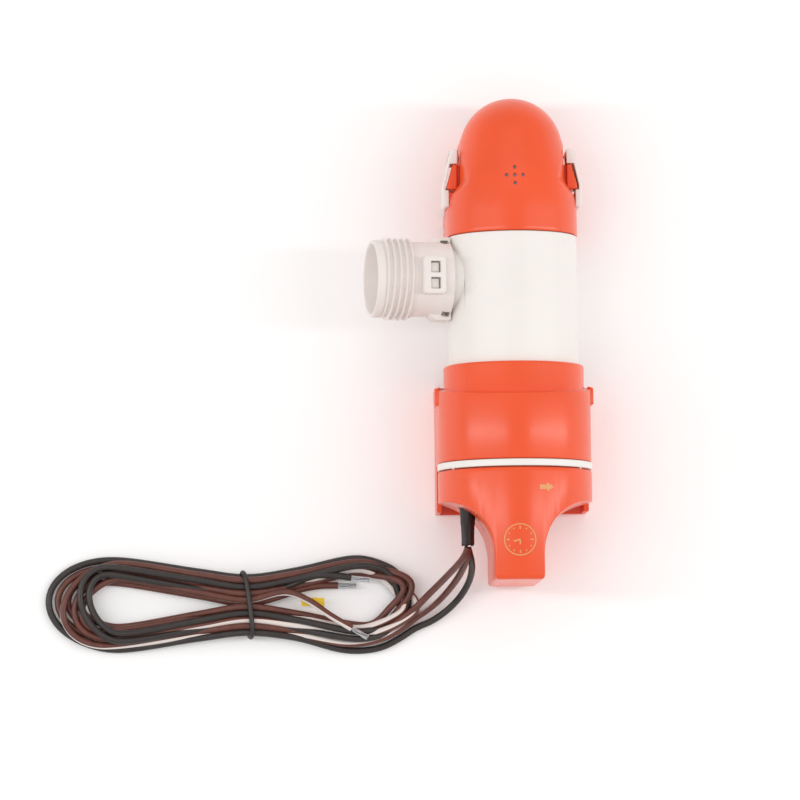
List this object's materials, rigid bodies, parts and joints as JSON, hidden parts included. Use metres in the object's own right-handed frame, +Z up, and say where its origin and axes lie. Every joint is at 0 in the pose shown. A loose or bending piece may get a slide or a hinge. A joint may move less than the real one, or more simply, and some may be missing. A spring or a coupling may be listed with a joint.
{
  "type": "bilge pump",
  "caption": "Low-profile submersible pump lying on a bracket, with a swivelling threaded outlet, clip-on strainer, twist-out motor cartridge and bundled leads.",
  "frame": {"origin": "on the floor, under the middle of the bracket's base plate, below the pump axis", "axes": "+Y along the pump towards the strainer's nose, +Z up, +X to the right seen from above with the nose away from the viewer; the outlet points to -X, 10 degrees above level"},
  "size_m": [0.2478, 0.2527, 0.073],
  "materials": {
    "orange_plastic": "semi-gloss moulded safety-orange plastic with a fine grain",
    "white_plastic": "semi-gloss warm white moulded plastic",
    "port_plastic": "satin white moulded plastic",
    "steel": "stainless steel, lightly brushed",
    "plated_steel": "plated sheet steel",
    "copper": "copper and bronze",
    "black_rubber": "matt black rubber and shrink sleeve",
    "graphite": "matt sintered graphite and ferrite",
    "nylon": "natural nylon",
    "board": "green circuit board",
    "black_plastic": "black component body",
    "wire_brown": "satin brown PVC insulation, one wire with a white stripe",
    "wire_black": "satin black PVC insulation",
    "tag_yellow": "yellow tape flag"
  },
  "bodies": {
    "mounted_frame": {"bracket": "orange_plastic", "strainer": "orange_plastic", "clip_pin_right": "steel", "clip_pin_left": "steel", "clip_spring_right": "steel", "clip_spring_left": "steel", "wire_brown": "wire_brown", "wire_striped": "wire_brown", "wire_black": "wire_black", "wire_hank": "wire_brown", "hank_tie": "wire_black", "wire_tag": "tag_yellow"},
    "swivel_casing": {"casing": "white_plastic", "outlet_fitting": "port_plastic", "outlet_seal": "black_rubber", "flap_pin": "steel", "suction_cover": "white_plastic", "cover_screw_1": "steel", "cover_screw_2": "steel", "cover_screw_3": "steel"},
    "check_flap": {"flap": "black_rubber"},
    "cartridge": {"cartridge_housing": "white_plastic", "lock_handle": "orange_plastic", "housing_seal": "black_rubber", "cap_seal": "black_rubber", "flange_screw_1": "steel", "flange_screw_2": "steel", "flange_screw_3": "steel", "motor_can": "plated_steel", "magnet_upper": "graphite", "magnet_lower": "graphite", "end_bell": "nylon", "rear_bearing": "copper", "front_bearing": "copper", "shaft_seal": "black_rubber", "brush_right": "graphite", "brush_left": "graphite", "brush_spring_right": "steel", "brush_spring_left": "steel", "timer_board": "board", "timer_chip": "black_plastic", "board_capacitor": "black_plastic", "board_screw_1": "steel", "board_screw_2": "steel", "cable_boot": "black_rubber"},
    "rotor": {"shaft": "steel", "armature_core": "plated_steel", "windings": "copper", "commutator": "copper", "impeller": "nylon", "impeller_nut": "steel"},
    "right_clip": {"clip_right": "white_plastic"},
    "left_clip": {"clip_left": "white_plastic"}
  },
  "joints": [
    {"name": "outlet_swivel", "type": "hinge", "parent": "mounted_frame", "child": "swivel_casing", "pos_m": [0, 0.05, 0.0378], "axis": [0, 1, 0], "range_deg": [-10, 170]},
    {"name": "lock_twist", "type": "hinge", "parent": "mounted_frame", "child": "cartridge", "pos_m": [0, -0.01, 0.0378], "axis": [0, -1, 0], "range_deg": [0, 35]},
    {"name": "rotor_spin", "type": "hinge", "parent": "cartridge", "child": "rotor", "pos_m": [0, 0.03, 0.0378], "axis": [0, 1, 0], "continuous": true},
    {"name": "flap_swing", "type": "hinge", "parent": "swivel_casing", "child": "check_flap", "pos_m": [-0.04198, 0.075, 0.05769], "axis": [0, 1, 0], "range_deg": [0, 55]},
    {"name": "right_clip_press", "type": "hinge", "parent": "mounted_frame", "child": "right_clip", "pos_m": [0.0272, 0.122, 0.0378], "axis": [0, 0, 1], "range_deg": [0, 6], "stiffness_Nm_per_rad": 0.1, "springref_deg": -11.46, "deforming": ["clip_spring_right"]},
    {"name": "left_clip_press", "type": "hinge", "parent": "mounted_frame", "child": "left_clip", "pos_m": [-0.0272, 0.122, 0.0378], "axis": [0, 0, -1], "range_deg": [0, 6], "stiffness_Nm_per_rad": 0.1, "springref_deg": -11.46, "deforming": ["clip_spring_left"]}
  ]
}
